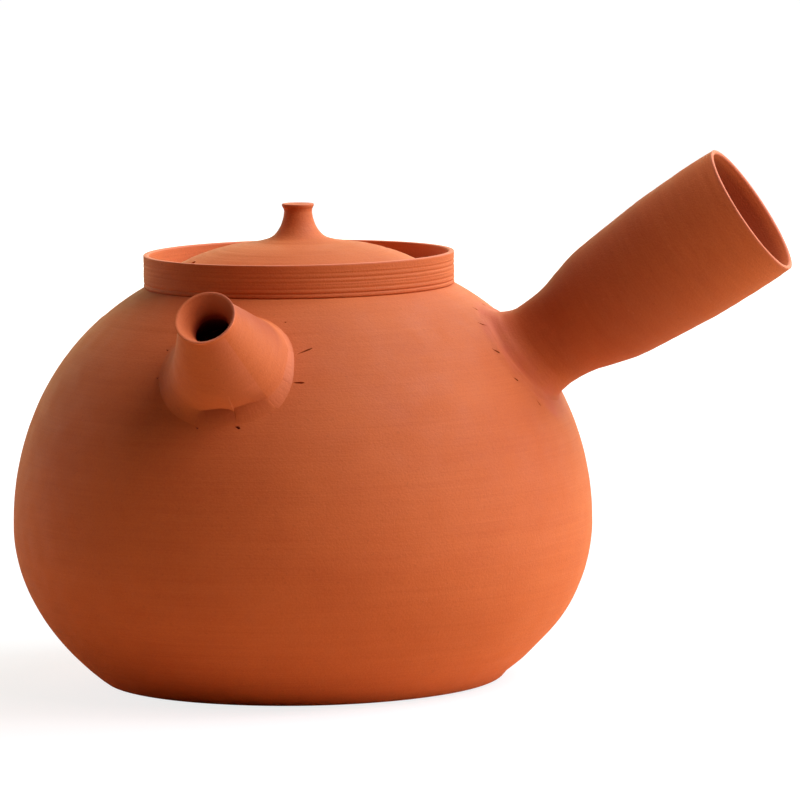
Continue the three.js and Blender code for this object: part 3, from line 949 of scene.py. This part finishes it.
def grip_profile():
    """The grip's section as (radius, height): the flared root, the outside with its lip, and the inside."""
    share = np.linspace(0, 1, 56)
    skirt = SMEAR_SLOPE * (SMEAR_RADIUS - GRIP_NECK)
    rise = skirt * share + (FLARE_LENGTH - skirt) * share**FLARE_FULLNESS - SUNK * (1 - share) ** 9
    root = np.column_stack([mix(SMEAR_RADIUS, GRIP_NECK, share), rise])
    up = np.arange(FLARE_LENGTH + 0.45, GRIP_LENGTH - 0.6, 0.45)
    body = np.column_stack([swell(up), up])
    end = swell(GRIP_LENGTH)
    lip = rounded(
        [(end, GRIP_LENGTH - 0.6), (end + 0.05, GRIP_LENGTH), (end - GRIP_LIP, GRIP_LENGTH),
         (end - GRIP_LIP - GRIP_LIP_SLOPE, GRIP_LENGTH - GRIP_LIP_DEPTH)],
        (GRIP_LIP_ROUND, GRIP_LIP_ROUND),
        6,
    )
    down = np.arange(GRIP_LENGTH - 3, -SUNK, -1.6)
    wall = mix(GRIP_LIP + GRIP_LIP_SLOPE, GRIP_WALL, smooth_step(0, GRIP_WALL_DEPTH, GRIP_LENGTH - down))
    inside = np.column_stack([swell(np.maximum(0, down)) - wall, down])
    outside = np.concatenate([root, body, even_steps(lip, 0.14)])
    return share, outside, np.vstack([inside, [(GRIP_NECK - GRIP_WALL, -SUNK)]])


def make_grip():
    share, outside, inside = grip_profile()
    line = np.concatenate([outside, inside])
    turns, along = np.meshgrid(np.arange(GRIP_SIDES) / GRIP_SIDES, walked(line))
    angle = 2 * math.pi * turns[0]
    drawn_in = np.zeros(turns.shape)
    drawn_in[:len(share)] = np.outer(1 - share, SMEAR_DRAWN_IN * smooth_step(0.6, 1, -np.sin(angle)))
    waves = hand_marks(GRIP_MARKS, turns, along)
    rows = []
    for i, (radius, height) in enumerate(line):
        around = radius + waves[i] * smooth_step(0, 3, height) - drawn_in[i]
        dabs = dab_relief(angle, around) if height < FLARE_LENGTH else 0
        hug = max(0, 1 - (max(0, height) / (2 * FLARE_LENGTH)) ** 2)
        rows.append(GRIP.ring(around + DAB_SPREAD_SHARE * dabs, height + dabs, hug, angle))
    height = line[:, 1:2] + 0 * turns
    outer = (np.arange(len(line)) < len(outside))[:, None]
    wear_and_painted_light = smooth_step(*GRIP_WORN, height)
    slip = (1 - smooth_step(*SLIP_END, height)) * outer
    # Painted shade on the neck, and inside the end.
    shade = NECK_SHADE * between(NECK_SHADE_START, NECK_SHADE_END, height) * outer
    shade += HOLLOW_SHADE * smooth_step(*HOLLOW_SHADE_START, GRIP_LENGTH - height) * (1 - outer)
    facts = {"wheel": wheel_fact(angle, along), "wear_and_painted_light": wear_and_painted_light, "slip": slip, "shade": shade}
    return skin("grip_tube", rows, facts, closed=True)


# Clay

def srgb(red, green, blue):
    """A colour that is given as it looks on screen, from 0 to 255."""
    part = lambda v: v / 12.92 if v <= 0.04045 else ((v + 0.055) / 1.055) ** 2.4
    return (part(red / 255), part(green / 255), part(blue / 255), 1)


CLAY_DARK = srgb(196, 99, 49)
CLAY_LIGHT = srgb(218, 125, 67)
# The next colour is painted shade, for the nicks, the cut faces, the throat and parts of the cone and grip.
PAINTED_SHADE_CLAY = srgb(148, 52, 26)
DARK_SAND = srgb(132, 58, 34)
LIGHT_SAND = srgb(226, 140, 98)
SLIP = srgb(206, 108, 76)
# The next colour is for paler edges from use, and for painted light on the spout.
WORN_AND_LIT_CLAY = srgb(226, 140, 106)
# The clay's noises: the space that each lies in, its scale along each axis, detail and roughness.
CLAY_NOISES = {
    "rings": ("wheel", (2.2, 2.2, 2.6), 4.0, 0.65),
    "bands": ("wheel", (1.3, 1.3, 0.55), 2.0, 0.55),
    "blotches": ("place", (38, 38, 38), 3.0, 0.55),
    "patches": ("place", (170, 170, 170), 3.0, 0.55),
    "grain": ("place", (2300, 2300, 2300), 2.0, 0.6),
    "sand": ("place", (1150, 1150, 1150), 1.0, 0.55),
}
# What a noise does to the clay: the range of the noise that counts, and what that becomes. The noises of one
# table are added up.
TONES = [
    ("rings", 0.3, 0.7, -0.1, 0.1), ("bands", 0.3, 0.7, -0.07, 0.07), ("blotches", 0.3, 0.7, -0.16, 0.16),
    ("grain", 0.25, 0.75, -0.2, 0.2),
]
ROUGHNESSES = [("patches", 0.3, 0.7, -0.06, 0.06), ("grain", 0.3, 0.7, -0.05, 0.05)]
BUMPS = [("rings", 0.2, 0.8, 0, 0.4), ("grain", 0.2, 0.8, 0, 0.52), ("sand", 0.2, 0.8, 0, 0.35)]
BUMP_SIZE = {"Strength": 0.5, "Distance": 0.00012}
SHINE = {"Specular IOR Level": 0.3, "Diffuse Roughness": 0.6}


def node(tree, kind, inputs=None, **settings):
    made = tree.nodes.new("ShaderNode" + kind)
    for key, value in settings.items():
        setattr(made, key, value)
    for key, value in (inputs or {}).items():
        if isinstance(value, bpy.types.NodeSocket):
            tree.links.new(value, made.inputs[key])
        else:
            made.inputs[key].default_value = value
    return made


def noise(tree, vector, scale, detail, roughness):
    """Noise with its own scale along each axis."""
    scaled = node(tree, "VectorMath", {0: vector, 1: scale}, operation="MULTIPLY").outputs[0]
    inputs = {"Vector": scaled, "Scale": 1.0, "Detail": detail, "Roughness": roughness}
    return node(tree, "TexNoise", inputs).outputs[0]


def ranged(tree, value, low, high, to_low, to_high):
    return node(tree, "MapRange", {0: value, 1: low, 2: high, 3: to_low, 4: to_high}).outputs[0]


def maths(tree, operation, first, second):
    return node(tree, "Math", {0: first, 1: second}, operation=operation).outputs[0]


def colour_mix(tree, share, first, second):
    return node(tree, "Mix", {0: share, 6: first, 7: second}, data_type="RGBA").outputs[2]


def clay(name, ring_depth=1.0):
    """Unglazed red clay: fine wheel rings, sandy speckle, soft blotches, painted shade, paler edges from use
    and painted light, and slip.
    """
    material = bpy.data.materials.new(name)
    material.use_nodes = True
    tree = material.node_tree
    shader = tree.nodes["Principled BSDF"]
    fact = lambda key, kind="Fac": node(tree, "Attribute", attribute_name=key).outputs[kind]
    spaces = {"wheel": fact("wheel", "Vector"), "place": node(tree, "TexCoord").outputs["Object"]}
    noises = {key: noise(tree, spaces[space], *form) for key, (space, *form) in CLAY_NOISES.items()}
    over = lambda key, *limits: ranged(tree, noises[key], *limits)

    def added(table, middle=None):
        """The noises of a table one on another, and on a middle value. The rings have their own depth."""
        result = middle
        for key, low, high, to_low, to_high in table:
            depth = ring_depth if key == "rings" else 1
            part = over(key, low, high, to_low * depth, to_high * depth)
            result = part if result is None else maths(tree, "ADD", result, part)
        return result

    slip = maths(tree, "MULTIPLY", fact("slip"), over("patches", 0.35, 0.65, 0.15, 0.75))
    wear_and_painted_light = maths(tree, "MULTIPLY", fact("wear_and_painted_light"), over("patches", 0.3, 0.7, 0.5, 0.9))
    body = colour_mix(tree, added(TONES, 0.5), CLAY_DARK, CLAY_LIGHT)
    # Painted shade where the shade fact is set, and the paler colour for use and for painted light.
    for share, colour in (
        (fact("shade"), PAINTED_SHADE_CLAY),
        (over("sand", 0.68, 0.76, 0.0, 0.16), DARK_SAND),
        (over("sand", 0.3, 0.22, 0.0, 0.16), LIGHT_SAND),
        (slip, SLIP),
        (wear_and_painted_light, WORN_AND_LIT_CLAY),
    ):
        body = colour_mix(tree, share, body, colour)
    bump = node(tree, "Bump", {"Height": added(BUMPS), **BUMP_SIZE})
    tree.links.new(body, shader.inputs["Base Color"])
    tree.links.new(added(ROUGHNESSES, 0.75), shader.inputs["Roughness"])
    tree.links.new(bump.outputs[0], shader.inputs["Normal"])
    for key, value in SHINE.items():
        shader.inputs[key].default_value = value
    return material


# Floor, light and camera. Distances to the lamps and in the floor's material are in metres.

WHITE = (1, 1, 1, 1)
FLOOR_REACH = 4000
PAPER_DARK = (0.22, 0.22, 0.22, 1)
PAPER_LIGHT = (0.24, 0.24, 0.24, 1)
PAPER_NOISE = ((60, 60, 60), 3.0, 0.55)
GLOW_EDGE = (0.15, 0.6)
GLOW_LEVELS = (0.8, 1.0)
CARD_EDGE = (0.22, 0.4)
CARD_NEAR = (0.82, 0.56, 0.35, 1)
CARD_FAR = (0.12, 0.11, 0.1, 1)
WORLD_LEVEL = 0.02
WORLD_COLOUR = (1.0, 0.8, 0.65, 1)
LAMP_DISTANCE = 1.3
LAMP_SIZE = 0.9
COOL = (0.77, 0.92, 1.0)
# The lamps: turn from the camera to the right, rise, level and colour.
LAMPS = {
    "window": (95, 45, 1.0, COOL),
    "window_low": (95, 12, 0.62, COOL),
    "window_back": (130, 45, 0.46, COOL),
    "front_right": (60, 45, 0.77, (1.0, 0.68, 0.69)),
    "back": (165, 12, 0.4, (0.84, 1.0, 0.75)),
    "back_left": (200, 12, 0.4, (1.0, 0.93, 0.45)),
    "left": (235, 12, 0.57, (1.0, 0.6, 0.45)),
}
CAMERA_TURN = 17.53  # of the photograph's view, from straight along +Y
CAMERA_PLACE = (0, -1500.0, 231.775)
CAMERA_ANGLES = (0.01649, 0.10793, 0.01531)  # yaw, pitch and roll, in radians
FOCUS = 6025.7  # in pixels, like the picture's width
PICTURE_WIDTH = 800
SENSOR = 36
AIM = Vector((0, 0, 55)) * MM


def seen_straight(tree):
    """1 for what the camera sees, and 0 for light that the surfaces throw on."""
    ray = node(tree, "LightPath")
    return maths(tree, "MAXIMUM", ray.outputs["Is Camera Ray"], ray.outputs["Is Transmission Ray"])


def make_floor():
    """White paper for the camera. Near the pot it throws on a warm light."""
    corners = [(x * FLOOR_REACH, y * FLOOR_REACH, 0) for x, y in ((-1, -1), (1, -1), (1, 1), (-1, 1))]
    floor = make_mesh("floor", corners, [(0, 1, 2, 3)])
    material = bpy.data.materials.new("floor_paper")
    material.use_nodes = True
    tree = material.node_tree
    tree.nodes.remove(tree.nodes["Principled BSDF"])
    place = node(tree, "TexCoord").outputs["Object"]
    far = node(tree, "VectorMath", {0: place}, operation="LENGTH").outputs["Value"]
    paper = colour_mix(tree, noise(tree, place, *PAPER_NOISE), PAPER_DARK, PAPER_LIGHT)
    seen = node(tree, "BsdfDiffuse", {"Color": paper})
    strength = ranged(tree, far, *GLOW_EDGE, *GLOW_LEVELS)
    glow = node(tree, "Emission", {"Color": WHITE, "Strength": strength})
    bright = node(tree, "AddShader", {0: seen.outputs[0], 1: glow.outputs[0]})
    card = colour_mix(tree, ranged(tree, far, *CARD_EDGE, 0.0, 1.0), CARD_NEAR, CARD_FAR)
    dull = node(tree, "BsdfDiffuse", {"Color": card})
    choice = node(tree, "MixShader", {0: seen_straight(tree), 1: dull.outputs[0], 2: bright.outputs[0]})
    tree.links.new(choice.outputs[0], tree.nodes["Material Output"].inputs["Surface"])
    floor.data.materials.append(material)


def make_world():
    """White for the camera, and a faint warm light for the pot."""
    world = bpy.data.worlds.new("studio")
    world.use_nodes = True
    bpy.context.scene.world = world
    tree = world.node_tree
    soft = tree.nodes["Background"]
    soft.inputs["Color"].default_value = WORLD_COLOUR
    soft.inputs["Strength"].default_value = WORLD_LEVEL
    white = node(tree, "Background", {"Color": WHITE, "Strength": 1.0})
    choice = node(tree, "MixShader", {0: seen_straight(tree), 1: soft.outputs[0], 2: white.outputs[0]})
    tree.links.new(choice.outputs[0], tree.nodes["World Output"].inputs["Surface"])


def lamp(name, turn, rise, level, colour):
    """A square soft light that points at the kettle."""
    data = bpy.data.lights.new(name, "AREA")
    data.size = LAMP_SIZE
    data.energy = level * math.pi**2 * LAMP_DISTANCE**2
    data.color = colour
    light = placed(name, data)
    turn, rise = (CAMERA_TURN + turn) * DEGREE, rise * DEGREE
    away = Vector((math.sin(turn) * math.cos(rise), -math.cos(turn) * math.cos(rise), math.sin(rise)))
    light.location = AIM + away * LAMP_DISTANCE
    light.rotation_euler = away.to_track_quat("Z", "Y").to_euler()


def make_camera():
    """The photograph's camera, whose place and angles were measured from the kettle's outlines."""
    yaw, pitch, roll = CAMERA_ANGLES
    ahead = Vector((math.sin(yaw) * math.cos(pitch), math.cos(yaw) * math.cos(pitch), -math.sin(pitch)))
    level = Vector((math.cos(yaw), -math.sin(yaw), 0))
    upright = level.cross(ahead)
    right = level * math.cos(roll) - upright * math.sin(roll)
    above = level * math.sin(roll) + upright * math.cos(roll)
    turn = Matrix.Rotation(CAMERA_TURN * DEGREE, 4, "Z")
    pose = Matrix((right, above, -ahead)).transposed().to_4x4()
    pose.translation = Vector(CAMERA_PLACE) * MM
    data = bpy.data.cameras.new("camera")
    data.sensor_width = SENSOR
    data.lens = data.sensor_width * FOCUS / PICTURE_WIDTH
    data.clip_end = 50
    camera = placed("camera", data)
    camera.matrix_world = turn @ pose
    bpy.context.scene.camera = camera


make_camera()
make_floor()
make_world()
for lamp_name, light in LAMPS.items():
    lamp(lamp_name, *light)
bpy.context.scene.view_settings.view_transform = "Standard"

red_clay = clay("red_clay")
collar_clay = clay("collar_clay", 1.4)

PIECES = [
    (make_pot(), "pot", ("pot_body",), red_clay),
    (make_collar(), "pot", ("collar",), collar_clay),
    (make_spout(), "pot", ("spout",), red_clay),
    (make_grip(), "pot", ("grip",), red_clay),
    (make_lid(), "lid", ("lid_disc", "lid_knob"), red_clay),
    (make_flange(), "lid", ("lid_flange",), red_clay),
]
for piece, body, nodes, material in PIECES:
    piece.data.materials.clear()
    piece.data.materials.append(material)
    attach(piece, body)
    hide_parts(*nodes)
